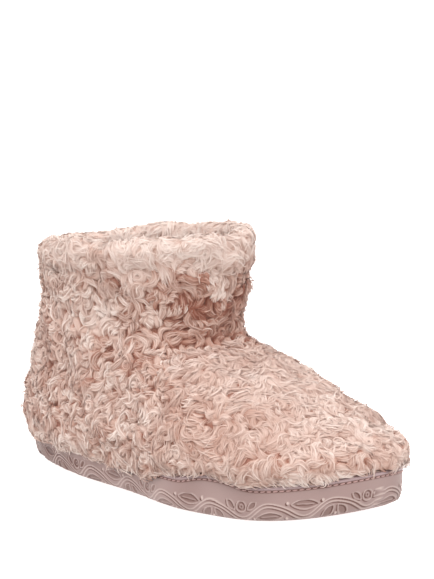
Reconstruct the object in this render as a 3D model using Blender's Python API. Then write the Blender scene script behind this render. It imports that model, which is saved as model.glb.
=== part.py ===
"""Fleece bootie slipper, one shoe, right foot, standing empty on its sole.

Frame: metres, +Z up, the toe points -Y, the heel +Y, the outer (lateral) side
is at -X and the inner (medial) side at +X.  The floor is z = 0.

Lengths in the tables are millimetres.  "s" is the distance from the back of
the sole towards the toe, so the sole runs from s = 0 to s = SOLE_LENGTH.
Every closed outline is an egg: two superellipse halves that meet at the
widest place, with a dent at each side of the waist, a bulge at the outer ball
and a swing of the toe towards the inner side.
"""
import bpy
import numpy as np
from mathutils import Vector

for old in list(bpy.data.objects):
    bpy.data.objects.remove(old, do_unlink=True)

MM = 0.001

# ---- driving sizes, mm -----------------------------------------------------
SOLE_LENGTH = 262.0
GAP = 0.3                 # between pieces that touch
POINTS = 84               # points around every outline
TOE_SPRING = 8.6          # rise of the sole at the toe
SPRING_START = 200.0      # where the sole leaves the floor
LIP_TOP = 19.0            # top of the cup sole's rim
WAVE_RISE = 4.0           # the rim rises beside the ball
WAVE_AT = 197.0
WAVE_HALF = 16.0
CUP_WALL = 4.0            # thickness of the cup's side wall at the rim
CUP_FLOOR_TOE = 8.0       # sole thickness under the forefoot
CUP_FLOOR_HEEL = 11.0     # sole thickness under the heel
ARCH_RISE = 2.6           # the underside lifts at the inner waist
ARCH_AT = 112.0
ARCH_HALF = 30.0
FOOTBED = 4.5             # thickness of the footbed
PILE_HANG = 5.6           # the pile hangs this far over the rim, heel to waist
PILE_GAP = 0.6            # between the hanging pile and the sole's wall
COLLAR_TILT = 7.5         # the collar's front stands this much above its middle
CENTRE_S = 127.4          # s at the frame's origin
CENTRE_X = -0.12          # the frame's origin, sideways

# ---- outline of the sole ---------------------------------------------------
SOLE = dict(back=0.0, front=SOLE_LENGTH, wide=168.7, lat=52.2, med=50.6,
            n_toe=2.31, n_heel=2.30, waist_lat=2.8, waist_med=6.0,
            ball_lat=2.3, swing=10.7)

# side wall of the cup sole: height above the underside, inset of the outline
SIDE_COLS = ("z", "inset")
SIDE_ROWS = (
    (0.0, 5.6),
    (0.6, 3.7),
    (2.0, 1.8),
    (4.8, 0.5),
    (9.0, 0.0),
)
# the rim: depth below the top of the rim, inset of the outline
RIM_ROWS = (
    (1.8, 0.0),
    (0.6, 0.35),
    (0.0, 1.3),
    (0.0, 2.7),
    (0.7, 3.8),
)

# ---- the upper's outer surface, one row for each height --------------------
UPPER_COLS = ("z", "back", "front", "wide", "lat", "med", "n_toe", "n_heel",
              "waist_lat", "waist_med", "ball_lat", "swing")
OUTER_ROWS = (
    (20.0, -4.6, 262.0, 168, 54.8, 53.5, 2.30, 2.30, 2.5, 5.5, 2.2, 10.7),
    (24.0, -7.2, 262.5, 168, 57.6, 56.2, 2.30, 2.30, 2.5, 5.5, 2.0, 10.7),
    (30.0, -7.5, 260.5, 167, 59.0, 57.8, 2.30, 2.30, 2.5, 5.2, 1.6, 10.7),
    (37.0, -6.0, 255.0, 164, 58.4, 58.2, 2.28, 2.30, 2.5, 5.0, 1.0, 10.4),
    (44.0, -4.2, 246.0, 158, 56.6, 57.2, 2.25, 2.28, 2.3, 4.5, 0.5, 10.0),
    (51.0, -2.6, 233.5, 149, 54.0, 54.8, 2.20, 2.25, 2.0, 4.0, 0.0, 9.0),
    (58.0, -1.0, 217.5, 137, 51.2, 51.8, 2.15, 2.20, 1.5, 3.0, 0.0, 7.5),
    (65.0, 0.8, 198.5, 121, 48.6, 49.1, 2.12, 2.18, 1.0, 2.0, 0.0, 5.0),
    (70.5, 2.4, 181.5, 107, 46.8, 47.0, 2.10, 2.15, 0.5, 1.0, 0.0, 3.0),
    (75.0, 3.8, 165.5, 95, 45.3, 45.3, 2.10, 2.12, 0.0, 0.0, 0.0, 1.0),
    (80.0, 5.4, 153.0, 86, 44.0, 44.0, 2.10, 2.10, 0.0, 0.0, 0.0, 0.0),
    (88.0, 7.8, 149.0, 81, 43.4, 43.4, 2.10, 2.10, 0.0, 0.0, 0.0, 0.0),
    (97.0, 10.2, 150.0, 81, 44.3, 44.3, 2.10, 2.10, 0.0, 0.0, 0.0, 0.0),
    (107.0, 12.2, 151.5, 82, 46.6, 46.6, 2.10, 2.10, 0.0, 0.0, 0.0, 0.0),
    (117.0, 14.2, 152.8, 84, 49.0, 48.6, 2.10, 2.10, 0.0, 0.0, 0.0, 0.0),
    (126.0, 16.2, 153.3, 86, 50.4, 49.9, 2.10, 2.10, 0.0, 0.0, 0.0, 0.0),
)
# collar crest, a rounded roll: rise above the last row, inset
CREST_ROWS = (
    (3.0, 0.9),
    (5.6, 3.4),
    (6.6, 7.0),
    (5.8, 10.6),
    (3.2, 12.9),
)
# ---- the upper's inner surface, with the pile of the lining left out -------
INNER_ROWS = (
    (16.0, 11.5, 249.0, 166, 41.5, 40.0, 2.30, 2.30, 2.6, 5.8, 2.0, 10.5),
    (24.0, 10.0, 249.5, 166, 44.0, 43.0, 2.28, 2.30, 2.4, 5.0, 1.5, 10.5),
    (31.0, 9.0, 244.5, 163, 45.2, 44.8, 2.25, 2.28, 2.2, 4.5, 1.0, 10.2),
    (38.0, 9.0, 234.0, 156, 44.6, 44.8, 2.22, 2.25, 2.0, 4.0, 0.5, 9.6),
    (45.0, 10.0, 219.0, 146, 42.2, 42.8, 2.18, 2.20, 1.5, 3.2, 0.0, 8.4),
    (51.5, 11.5, 201.5, 132, 39.4, 39.8, 2.15, 2.18, 1.0, 2.4, 0.0, 6.6),
    (57.5, 13.4, 182.5, 116, 36.8, 37.0, 2.12, 2.15, 0.5, 1.4, 0.0, 4.4),
    (62.5, 15.0, 165.0, 102, 35.0, 35.0, 2.10, 2.12, 0.0, 0.6, 0.0, 2.4),
    (68.0, 16.6, 149.0, 92, 33.6, 33.6, 2.10, 2.10, 0.0, 0.0, 0.0, 1.0),
    (76.0, 18.6, 138.5, 83, 32.4, 32.4, 2.10, 2.10, 0.0, 0.0, 0.0, 0.0),
    (88.0, 21.2, 136.0, 80, 31.8, 31.8, 2.10, 2.10, 0.0, 0.0, 0.0, 0.0),
    (100.0, 23.8, 137.2, 81, 32.6, 32.6, 2.10, 2.10, 0.0, 0.0, 0.0, 0.0),
    (112.0, 27.0, 138.6, 83, 34.9, 34.6, 2.10, 2.10, 0.0, 0.0, 0.0, 0.0),
    (125.0, 29.8, 139.8, 86, 36.8, 36.4, 2.10, 2.10, 0.0, 0.0, 0.0, 0.0),
)

HALF = POINTS // 2
STEP = np.arange(POINTS)
INNER_SIDE = STEP < HALF          # toe tip, inner side, heel, outer side
TURN = np.where(INNER_SIDE, STEP, POINTS - STEP) * np.pi / HALF
# share of the length at each point, 1 at the toe tip and -1 at the heel
REACH = 0.85 * np.cos(TURN) + 0.15 * (1.0 - 2.0 * TURN / np.pi)


def outline(row, inset=0.0):
    """Closed outline of a row (a dict of UPPER_COLS): arrays x, s."""
    back, front = row["back"] + inset, row["front"] - inset
    s = 0.5 * (front + back) + 0.5 * (front - back) * REACH
    ahead = np.clip((s - row["wide"]) / (front - row["wide"]), 0.0, 1.0)
    behind = np.clip((row["wide"] - s) / (row["wide"] - back), 0.0, 1.0)
    n = np.where(s >= row["wide"], row["n_toe"], row["n_heel"])
    share = np.clip(1.0 - np.maximum(ahead, behind) ** n, 0.0, 1.0) ** (1.0 / n)
    share[0] = share[HALF] = 0.0
    near_side = np.minimum(1.0, share * 1.5)
    dent = row["waist_med"] * np.exp(-((s - 105.0) / 38.0) ** 2)
    inner_x = (row["med"] - inset) * share - dent * near_side
    dent = (row["waist_lat"] * np.exp(-((s - 122.0) / 30.0) ** 2)
            - row["ball_lat"] * np.exp(-((s - 170.0) / 21.0) ** 2))
    outer_x = -(row["lat"] - inset) * share + dent * near_side
    x = np.where(INNER_SIDE, inner_x, outer_x)
    x = x + row["swing"] * np.clip((s - 131.0) / 131.0, 0.0, 1.2) ** 2
    return x, s


def spring(s):
    """Rise of the underside towards the toe."""
    return TOE_SPRING * np.clip((s - SPRING_START) / (SOLE_LENGTH - SPRING_START), 0.0, 1.0) ** 2


def wave(s):
    """Rise of the cup's rim beside the ball."""
    return WAVE_RISE * np.exp(-np.abs((s - WAVE_AT) / WAVE_HALF) ** 3)


def hang(s):
    """How far the pile hangs below the rim: from the heel to the waist, none at the ball."""
    t = np.clip((s - 138.0) / 40.0, 0.0, 1.0)
    return PILE_HANG * (1.0 - t * t * (3.0 - 2.0 * t))


def cup_floor(s):
    """Top of the sole inside the cup."""
    t = np.clip((s - 90.0) / 80.0, 0.0, 1.0)
    ease = t * t * (3.0 - 2.0 * t)
    return CUP_FLOOR_HEEL + (CUP_FLOOR_TOE - CUP_FLOOR_HEEL) * ease + spring(s)


def arch(x, s):
    """The underside lifts under the inner waist and stays down at the outer edge."""
    inward = np.clip((x + 34.0) / 60.0, 0.0, 1.0)
    return ARCH_RISE * np.exp(-((s - ARCH_AT) / ARCH_HALF) ** 4) * inward * inward * (3 - 2 * inward)


def smooth_rows(rows, levels):
    """Read a table at other heights with a cubic through its rows."""
    table = np.array(rows, dtype=float)
    z, v = table[:, 0], table[:, 1:]
    slope = np.gradient(v, z, axis=0)
    out = []
    for level in levels:
        k = int(np.clip(np.searchsorted(z, level) - 1, 0, len(z) - 2))
        h = z[k + 1] - z[k]
        t = (level - z[k]) / h
        value = ((2 * t**3 - 3 * t**2 + 1) * v[k] + (t**3 - 2 * t**2 + t) * h * slope[k]
                 + (3 * t**2 - 2 * t**3) * v[k + 1] + (t**3 - t**2) * h * slope[k + 1])
        out.append(dict(zip(UPPER_COLS, [level] + list(value))))
    return out


def upper_height(z, s):
    """Low rows follow the rim's spring and wave, the collar's rows tilt."""
    low = np.clip(1.0 - (z - 20.0) / 36.0, 0.0, 1.0)
    low = low * low * (3.0 - 2.0 * low)
    rim = np.clip(1.0 - (z - 20.0) / 12.0, 0.0, 1.0)
    tilt = COLLAR_TILT * (s - 82.0) / 70.0 * np.clip((z - 84.0) / 42.0, 0.0, 1.0)
    skirt = np.clip(1.0 - (z - 20.0) / 15.0, 0.0, 1.0) ** 1.5
    return z + low * spring(s) + rim * wave(s) - skirt * hang(s) + tilt


def loop(x, s, z):
    """A loop of points in metres, in the object's frame."""
    z = z + 0.0 * x
    return [Vector(((a - CENTRE_X) * MM, (CENTRE_S - b) * MM, c * MM)) for a, b, c in zip(x, s, z)]


def strip_points(x, s, height, cuts):
    """Rows of points that join each outer point to the inner point level with it."""
    rows = []
    for i in range(1, HALF):
        j = POINTS - i
        row = []
        for k in range(1, cuts + 1):
            t = k / (cuts + 1.0)
            px = x[i] * (1 - t) + x[j] * t
            ps = s[i] * (1 - t) + s[j] * t
            row.append(Vector(((px - CENTRE_X) * MM, (CENTRE_S - ps) * MM, float(height(px, ps)) * MM)))
        rows.append(row)
    return rows


def solid(name, loops, caps, colour, roughness):
    """Skin a stack of loops; caps holds the strip points of the two ends, or None twice
    for a ring whose last loop is joined back to its first."""
    verts, faces = [], []
    index = []
    for one in loops:
        index.append(list(range(len(verts), len(verts) + len(one))))
        verts.extend(one)
    count = len(loops)
    closed = caps[0] is None
    for a in range(count if closed else count - 1):
        lower, upper = index[a], index[(a + 1) % count]
        for i in range(POINTS):
            j = (i + 1) % POINTS
            faces.append((lower[i], lower[j], upper[j], upper[i]))
    if not closed:
        for ring, rows, flip in ((index[0], caps[0], False), (index[-1], caps[1], True)):
            grid = []
            for i, row in enumerate(rows, start=1):
                ids = list(range(len(verts), len(verts) + len(row)))
                verts.extend(row)
                grid.append([ring[i]] + ids + [ring[POINTS - i]])
            patch = []
            for a, b in zip(grid[:-1], grid[1:]):
                for k in range(len(a) - 1):
                    patch.append((a[k], a[k + 1], b[k + 1], b[k]))
            for tip, row, last in ((ring[0], grid[0], False), (ring[HALF], grid[-1], True)):
                for k in range(len(row) - 1):
                    patch.append((tip, row[k], row[k + 1]) if last else (tip, row[k + 1], row[k]))
            faces.extend(tuple(reversed(f)) if flip else f for f in patch)
    mesh = bpy.data.meshes.new(name)
    mesh.from_pydata([tuple(v) for v in verts], [], faces)
    mesh.validate()
    volume = sum(f.area * f.normal.dot(f.center) for f in mesh.polygons)
    if volume < 0:
        mesh.flip_normals()
    mesh.shade_smooth()
    piece = bpy.data.objects.new(name, mesh)
    bpy.context.collection.objects.link(piece)
    look = bpy.data.materials.new(name)
    look.use_nodes = True
    shader = look.node_tree.nodes["Principled BSDF"]
    shader.inputs["Base Color"].default_value = (*colour, 1.0)
    shader.inputs["Roughness"].default_value = roughness
    shader.inputs["Metallic"].default_value = 0.0
    mesh.materials.append(look)
    return piece


# ---- outsole: one cup, wall and floor in one piece -------------------------
loops = []
for z, inset in SIDE_ROWS:
    x, s = outline(SOLE, inset)
    under = spring(s) + arch(x, s) * max(0.0, 1.0 - z / 5.0)
    loops.append(loop(x, s, z + under))
    if z == 0.0:
        ground_x, ground_s = x, s
for depth, inset in RIM_ROWS:
    x, s = outline(SOLE, inset)
    loops.append(loop(x, s, LIP_TOP - depth + spring(s) + wave(s)))
x, s = outline(SOLE, CUP_WALL)
loops.append(loop(x, s, cup_floor(s)))
bed_x, bed_s = x, s
outsole = solid(
    "outsole", loops,
    (strip_points(ground_x, ground_s, lambda a, b: spring(b) + arch(a, b), 7),
     strip_points(bed_x, bed_s, lambda a, b: cup_floor(b), 3)),
    (0.46, 0.36, 0.35), 0.62)

# grooves across the tread, in the forefoot and the heel
GROOVE_WIDTH = 3.0
GROOVE_DEPTH = 1.8
GROOVE_EDGE = 13.0        # the grooves stop this far from the outline
GROOVE_BEND = 7.0         # each groove runs back towards its two ends
HEEL_GROOVES = (26.0, 38.0, 50.0, 62.0, 74.0)
BALL_GROOVES = (150.0, 162.0, 174.0, 186.0, 198.0, 210.0, 222.0)


def side_at(s_here, sign):
    """Sideways reach of the sole at s on one side."""
    x, s = outline(SOLE, GROOVE_EDGE)
    pick = (np.sign(x - np.interp(s, [0, 262], [0, 8])) == sign)
    order = np.argsort(s[pick])
    return float(np.interp(s_here, s[pick][order], x[pick][order]))


verts, faces = [], []
for at in HEEL_GROOVES + BALL_GROOVES:
    left, right = side_at(at, -1), side_at(at, 1)
    middle = 0.5 * (left + right)
    stations = (left, middle, right)
    base = len(verts)
    for px in stations:
        reach = (px - middle) / max(1.0, 0.5 * (right - left))
        ps = at - GROOVE_BEND * reach * reach
        top = spring(ps) + GROOVE_DEPTH
        for ds, dz in ((-1, -3.0), (1, -3.0), (1, 0.0), (-1, 0.0)):
            verts.append(((px - CENTRE_X) * MM, (CENTRE_S - ps - ds * GROOVE_WIDTH / 2) * MM,
                          (dz if dz < 0 else top) * MM))
    for k in range(2):
        a, b = base + 4 * k, base + 4 * (k + 1)
        for i in range(4):
            j = (i + 1) % 4
            faces.append((a + i, a + j, b + j, b + i))
    faces.append((base + 3, base + 2, base + 1, base))
    faces.append((base + 8, base + 9, base + 10, base + 11))
mesh = bpy.data.meshes.new("groove_cutter")
mesh.from_pydata(verts, [], faces)
if sum(f.area * f.normal.dot(f.center) for f in mesh.polygons) < 0:
    mesh.flip_normals()
cutter = bpy.data.objects.new("groove_cutter", mesh)
bpy.context.collection.objects.link(cutter)
cutter.hide_render = True
cutter.display_type = "WIRE"
cut = outsole.modifiers.new("tread", "BOOLEAN")
cut.operation = "DIFFERENCE"
cut.solver = "EXACT"
cut.object = cutter

# ---- upper: one hollow solid, open at the collar and under the foot --------
outer_levels = [20.0, 21.6, 24.0, 27.0, 31.0, 35.5, 40.0, 44.5, 49.0, 53.5, 58.0, 62.5, 66.5,
                70.0, 73.0, 76.0, 79.5, 84.0, 90.0, 97.0, 105.0, 113.0, 120.0, 126.0]
loops = []
x, s = outline(SOLE, CUP_WALL + GAP)
loops.append(loop(x, s, cup_floor(s) + GAP))
loops.append(loop(x, s, LIP_TOP - 0.6 + spring(s) + wave(s)))
x, s = outline(SOLE, CUP_WALL - 0.9)
loops.append(loop(x, s, LIP_TOP + GAP + 0.1 + spring(s) + wave(s)))
x, s = outline(SOLE, -PILE_GAP)
loops.append(loop(x, s, LIP_TOP + GAP + 0.1 + spring(s) + wave(s)))
loops.append(loop(x, s, LIP_TOP + GAP + 0.05 + spring(s) + wave(s) - hang(s)))
for row in smooth_rows(OUTER_ROWS, outer_levels):
    x, s = outline(row)
    loops.append(loop(x, s, upper_height(row["z"], s)))
top = smooth_rows(OUTER_ROWS, [126.0])[0]
for rise, inset in CREST_ROWS:
    x, s = outline(top, inset)
    loops.append(loop(x, s, upper_height(126.0, s) + rise))
inner_levels = [125.0, 116.0, 107.0, 97.0, 87.0, 78.0, 71.5, 66.5, 62.0, 57.5, 52.5, 46.5, 40.5,
                34.0, 28.0, 22.0]
for row in smooth_rows(INNER_ROWS, inner_levels):
    x, s = outline(row)
    loops.append(loop(x, s, upper_height(row["z"], s)))
x, s = outline(smooth_rows(INNER_ROWS, [16.0])[0])
loops.append(loop(x, s, cup_floor(s) + GAP))
solid("upper", loops, (None, None), (0.62, 0.42, 0.38), 0.95)

# ---- insole: the footbed, lying in the cup inside the upper ----------------
loops = []
for rise, inset in ((0.0, GAP + 0.9), (0.8, GAP), (FOOTBED - 0.8, GAP), (FOOTBED, GAP + 0.9)):
    x, s = outline(smooth_rows(INNER_ROWS, [16.0])[0], inset)
    loops.append(loop(x, s, cup_floor(s) + GAP + rise))
    if rise == 0.0:
        low_x, low_s = x, s
solid("insole", loops,
      (strip_points(low_x, low_s, lambda a, b: cup_floor(b) + GAP, 3),
       strip_points(low_x, low_s, lambda a, b: cup_floor(b) + GAP + FOOTBED, 3)),
      (0.60, 0.42, 0.38), 0.95)
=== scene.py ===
"""Looks of the fleece bootie slipper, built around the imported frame.

Metres, +Z up, the toe points -Y, the outer side of the foot is at -X.
Tables are in millimetres; "s" runs from the back of the sole to the toe.
"""
import bpy
import math
import numpy as np
from mathutils import Vector, Matrix
from mathutils.bvhtree import BVHTree


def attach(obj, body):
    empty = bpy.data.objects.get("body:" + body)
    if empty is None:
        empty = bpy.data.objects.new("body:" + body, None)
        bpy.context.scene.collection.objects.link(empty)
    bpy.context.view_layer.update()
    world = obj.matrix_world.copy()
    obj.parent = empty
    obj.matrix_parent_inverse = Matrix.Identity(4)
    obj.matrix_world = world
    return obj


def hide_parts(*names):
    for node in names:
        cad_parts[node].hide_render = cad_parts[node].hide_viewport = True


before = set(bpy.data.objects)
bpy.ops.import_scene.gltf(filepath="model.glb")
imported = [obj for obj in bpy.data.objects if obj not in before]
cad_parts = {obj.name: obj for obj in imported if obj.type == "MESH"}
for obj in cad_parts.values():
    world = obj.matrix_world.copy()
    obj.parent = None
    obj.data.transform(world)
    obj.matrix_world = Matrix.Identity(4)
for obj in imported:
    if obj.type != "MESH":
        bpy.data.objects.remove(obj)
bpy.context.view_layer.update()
MM = 0.001
TAU = 2.0 * math.pi

# ---------------------------------------------------------------------------
# the shoe's own sizes, as in the CAD model
# ---------------------------------------------------------------------------
SOLE_LENGTH = 262.0
GAP = 0.3
TOE_SPRING = 8.6
SPRING_START = 200.0
LIP_TOP = 19.0
WAVE_RISE = 4.0
WAVE_AT = 197.0
WAVE_HALF = 16.0
CUP_WALL = 4.0
CUP_FLOOR_TOE = 8.0
CUP_FLOOR_HEEL = 11.0
ARCH_RISE = 2.6
ARCH_AT = 112.0
ARCH_HALF = 30.0
FOOTBED = 4.5
PILE_HANG = 5.6
PILE_GAP = 0.6
COLLAR_TILT = 7.5
CENTRE_S = 127.4
CENTRE_X = -0.12

SOLE = dict(back=0.0, front=SOLE_LENGTH, wide=168.7, lat=52.2, med=50.6,
            n_toe=2.31, n_heel=2.30, waist_lat=2.8, waist_med=6.0,
            ball_lat=2.3, swing=10.7)
COLS = ("z", "back", "front", "wide", "lat", "med", "n_toe", "n_heel",
        "waist_lat", "waist_med", "ball_lat", "swing")
OUTER_ROWS = (
    (20.0, -4.6, 262.0, 168, 54.8, 53.5, 2.30, 2.30, 2.5, 5.5, 2.2, 10.7),
    (24.0, -7.2, 262.5, 168, 57.6, 56.2, 2.30, 2.30, 2.5, 5.5, 2.0, 10.7),
    (30.0, -7.5, 260.5, 167, 59.0, 57.8, 2.30, 2.30, 2.5, 5.2, 1.6, 10.7),
    (37.0, -6.0, 255.0, 164, 58.4, 58.2, 2.28, 2.30, 2.5, 5.0, 1.0, 10.4),
    (44.0, -4.2, 246.0, 158, 56.6, 57.2, 2.25, 2.28, 2.3, 4.5, 0.5, 10.0),
    (51.0, -2.6, 233.5, 149, 54.0, 54.8, 2.20, 2.25, 2.0, 4.0, 0.0, 9.0),
    (58.0, -1.0, 217.5, 137, 51.2, 51.8, 2.15, 2.20, 1.5, 3.0, 0.0, 7.5),
    (65.0, 0.8, 198.5, 121, 48.6, 49.1, 2.12, 2.18, 1.0, 2.0, 0.0, 5.0),
    (70.5, 2.4, 181.5, 107, 46.8, 47.0, 2.10, 2.15, 0.5, 1.0, 0.0, 3.0),
    (75.0, 3.8, 165.5, 95, 45.3, 45.3, 2.10, 2.12, 0.0, 0.0, 0.0, 1.0),
    (80.0, 5.4, 153.0, 86, 44.0, 44.0, 2.10, 2.10, 0.0, 0.0, 0.0, 0.0),
    (88.0, 7.8, 149.0, 81, 43.4, 43.4, 2.10, 2.10, 0.0, 0.0, 0.0, 0.0),
    (97.0, 10.2, 150.0, 81, 44.3, 44.3, 2.10, 2.10, 0.0, 0.0, 0.0, 0.0),
    (107.0, 12.2, 151.5, 82, 46.6, 46.6, 2.10, 2.10, 0.0, 0.0, 0.0, 0.0),
    (117.0, 14.2, 152.8, 84, 49.0, 48.6, 2.10, 2.10, 0.0, 0.0, 0.0, 0.0),
    (126.0, 16.2, 153.3, 86, 50.4, 49.9, 2.10, 2.10, 0.0, 0.0, 0.0, 0.0),
)
CREST_ROWS = ((1.6, 0.3), (3.0, 0.9), (4.4, 2.0), (5.6, 3.4), (6.3, 5.1),
              (6.6, 7.0), (6.4, 8.9), (5.8, 10.6), (4.6, 12.0), (3.2, 12.9))
INNER_ROWS = (
    (16.0, 11.5, 249.0, 166, 41.5, 40.0, 2.30, 2.30, 2.6, 5.8, 2.0, 10.5),
    (24.0, 10.0, 249.5, 166, 44.0, 43.0, 2.28, 2.30, 2.4, 5.0, 1.5, 10.5),
    (31.0, 9.0, 244.5, 163, 45.2, 44.8, 2.25, 2.28, 2.2, 4.5, 1.0, 10.2),
    (38.0, 9.0, 234.0, 156, 44.6, 44.8, 2.22, 2.25, 2.0, 4.0, 0.5, 9.6),
    (45.0, 10.0, 219.0, 146, 42.2, 42.8, 2.18, 2.20, 1.5, 3.2, 0.0, 8.4),
    (51.5, 11.5, 201.5, 132, 39.4, 39.8, 2.15, 2.18, 1.0, 2.4, 0.0, 6.6),
    (57.5, 13.4, 182.5, 116, 36.8, 37.0, 2.12, 2.15, 0.5, 1.4, 0.0, 4.4),
    (62.5, 15.0, 165.0, 102, 35.0, 35.0, 2.10, 2.12, 0.0, 0.6, 0.0, 2.4),
    (68.0, 16.6, 149.0, 92, 33.6, 33.6, 2.10, 2.10, 0.0, 0.0, 0.0, 1.0),
    (76.0, 18.6, 138.5, 83, 32.4, 32.4, 2.10, 2.10, 0.0, 0.0, 0.0, 0.0),
    (88.0, 21.2, 136.0, 80, 31.8, 31.8, 2.10, 2.10, 0.0, 0.0, 0.0, 0.0),
    (100.0, 23.8, 137.2, 81, 32.6, 32.6, 2.10, 2.10, 0.0, 0.0, 0.0, 0.0),
    (112.0, 27.0, 138.6, 83, 34.9, 34.6, 2.10, 2.10, 0.0, 0.0, 0.0, 0.0),
    (125.0, 29.8, 139.8, 86, 36.8, 36.4, 2.10, 2.10, 0.0, 0.0, 0.0, 0.0),
)


def around(points):
    """Angles and side of the points round an outline: toe tip, inner side, heel, outer side."""
    half = points // 2
    step = np.arange(points)
    inner = step < half
    turn = np.where(inner, step, points - step) * np.pi / half
    reach = 0.85 * np.cos(turn) + 0.15 * (1.0 - 2.0 * turn / np.pi)
    return reach, inner


def outline(row, inset, ring):
    reach, inner = ring
    back, front = row["back"] + inset, row["front"] - inset
    s = 0.5 * (front + back) + 0.5 * (front - back) * reach
    ahead = np.clip((s - row["wide"]) / (front - row["wide"]), 0.0, 1.0)
    behind = np.clip((row["wide"] - s) / (row["wide"] - back), 0.0, 1.0)
    n = np.where(s >= row["wide"], row["n_toe"], row["n_heel"])
    share = np.clip(1.0 - np.maximum(ahead, behind) ** n, 0.0, 1.0) ** (1.0 / n)
    share[0] = share[len(reach) // 2] = 0.0
    near_side = np.minimum(1.0, share * 1.5)
    dent = row["waist_med"] * np.exp(-((s - 105.0) / 38.0) ** 2)
    inner_x = (row["med"] - inset) * share - dent * near_side
    dent = (row["waist_lat"] * np.exp(-((s - 122.0) / 30.0) ** 2)
            - row["ball_lat"] * np.exp(-((s - 170.0) / 21.0) ** 2))
    outer_x = -(row["lat"] - inset) * share + dent * near_side
    x = np.where(inner, inner_x, outer_x)
    return x + row["swing"] * np.clip((s - 131.0) / 131.0, 0.0, 1.2) ** 2, s


def ease(t):
    t = np.clip(t, 0.0, 1.0)
    return t * t * (3.0 - 2.0 * t)


def spring(s):
    return TOE_SPRING * np.clip((s - SPRING_START) / (SOLE_LENGTH - SPRING_START), 0.0, 1.0) ** 2


def wave(s):
    return WAVE_RISE * np.exp(-np.abs((s - WAVE_AT) / WAVE_HALF) ** 3)


def hang(s):
    return PILE_HANG * (1.0 - ease((s - 138.0) / 40.0))


def cup_floor(s):
    return CUP_FLOOR_HEEL + (CUP_FLOOR_TOE - CUP_FLOOR_HEEL) * ease((s - 90.0) / 80.0) + spring(s)


def arch(x, s):
    return ARCH_RISE * np.exp(-((s - ARCH_AT) / ARCH_HALF) ** 4) * ease((x + 34.0) / 60.0)


def smooth_rows(rows, levels):
    table = np.array(rows, dtype=float)
    z, v = table[:, 0], table[:, 1:]
    slope = np.gradient(v, z, axis=0)
    out = []
    for level in levels:
        k = int(np.clip(np.searchsorted(z, level) - 1, 0, len(z) - 2))
        h = z[k + 1] - z[k]
        t = (level - z[k]) / h
        value = ((2 * t**3 - 3 * t**2 + 1) * v[k] + (t**3 - 2 * t**2 + t) * h * slope[k]
                 + (3 * t**2 - 2 * t**3) * v[k + 1] + (t**3 - t**2) * h * slope[k + 1])
        out.append(dict(zip(COLS, [level] + list(value))))
    return out


def upper_height(z, s):
    low = ease(1.0 - (z - 20.0) / 36.0)
    rim = np.clip(1.0 - (z - 20.0) / 12.0, 0.0, 1.0)
    tilt = COLLAR_TILT * (s - 82.0) / 70.0 * np.clip((z - 84.0) / 42.0, 0.0, 1.0)
    skirt = np.clip(1.0 - (z - 20.0) / 15.0, 0.0, 1.0) ** 1.5
    return z + low * spring(s) + rim * wave(s) - skirt * hang(s) + tilt


def place(x, s, z):
    """Points in millimetres of the shoe's frame (x, y, z)."""
    x, s, z = np.broadcast_arrays(x, s, z)
    return np.stack([x - CENTRE_X, CENTRE_S - s, z], -1)


# ---------------------------------------------------------------------------
# small helpers
# ---------------------------------------------------------------------------
def field(p, size, seed, count=26):
    """A smooth random field over points p (mm), about -1 to 1, with bumps about size apart."""
    rng = np.random.default_rng(seed)
    k = rng.normal(size=(count, 3))
    k /= np.linalg.norm(k, axis=1, keepdims=True)
    k *= (TAU / (2.0 * size)) * rng.uniform(0.65, 1.45, (count, 1))
    phase = rng.uniform(0, TAU, count)
    flat = p.reshape(-1, 3)
    out = np.zeros(len(flat))
    for a, b in zip(k, phase):
        out += np.sin(flat @ a + b)
    return (out / math.sqrt(count / 2.0)).reshape(p.shape[:-1])


def unit(v):
    return v / np.maximum(np.linalg.norm(v, axis=-1, keepdims=True), 1e-12)


def mesh_piece(name, verts, quads=None, tris=None, material=None, tone=None, normals=None, extra=None):
    """A mesh object in metres from arrays in millimetres."""
    me = bpy.data.meshes.new(name)
    verts = np.ascontiguousarray(verts, dtype=np.float32) * MM
    me.vertices.add(len(verts))
    me.vertices.foreach_set("co", verts.ravel())
    parts, starts, total = [], [], 0
    for faces, size in ((quads, 4), (tris, 3)):
        if faces is not None and len(faces):
            f = np.ascontiguousarray(faces, dtype=np.int32)
            parts.append(f.ravel())
            starts.append(total + np.arange(len(f), dtype=np.int32) * size)
            total += len(f) * size
    loops, starts = np.concatenate(parts), np.concatenate(starts)
    me.loops.add(len(loops))
    me.loops.foreach_set("vertex_index", loops)
    me.polygons.add(len(starts))
    me.polygons.foreach_set("loop_start", starts)
    me.update(calc_edges=True)
    me.validate()
    me.shade_smooth()
    if tone is not None:
        layer = me.attributes.new("tone", "FLOAT", "POINT")
        layer.data.foreach_set("value", np.ascontiguousarray(tone, dtype=np.float32))
    for key, values in (extra or {}).items():
        layer = me.attributes.new(key, "FLOAT", "POINT")
        layer.data.foreach_set("value", np.ascontiguousarray(values, dtype=np.float32))
    if normals is not None:
        me.normals_split_custom_set_from_vertices(unit(normals).astype(np.float32))
    ob = bpy.data.objects.new(name, me)
    bpy.context.collection.objects.link(ob)
    if material is not None:
        me.materials.append(material)
    return ob


def grid_quads(rows, cols, wrap_rows=False):
    """Quads of a grid of rows x cols points that wraps along its columns."""
    r = np.arange(rows if wrap_rows else rows - 1)[:, None]
    c = np.arange(cols)[None, :]
    r2, c2 = (r + 1) % rows, (c + 1) % cols
    return np.stack([r * cols + c, r * cols + c2, r2 * cols + c2, r2 * cols + c], -1).reshape(-1, 4)


# ---------------------------------------------------------------------------
# materials
# ---------------------------------------------------------------------------
def new_material(name):
    m = bpy.data.materials.new(name)
    m.use_nodes = True
    return m, m.node_tree, m.node_tree.nodes["Principled BSDF"]


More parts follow.
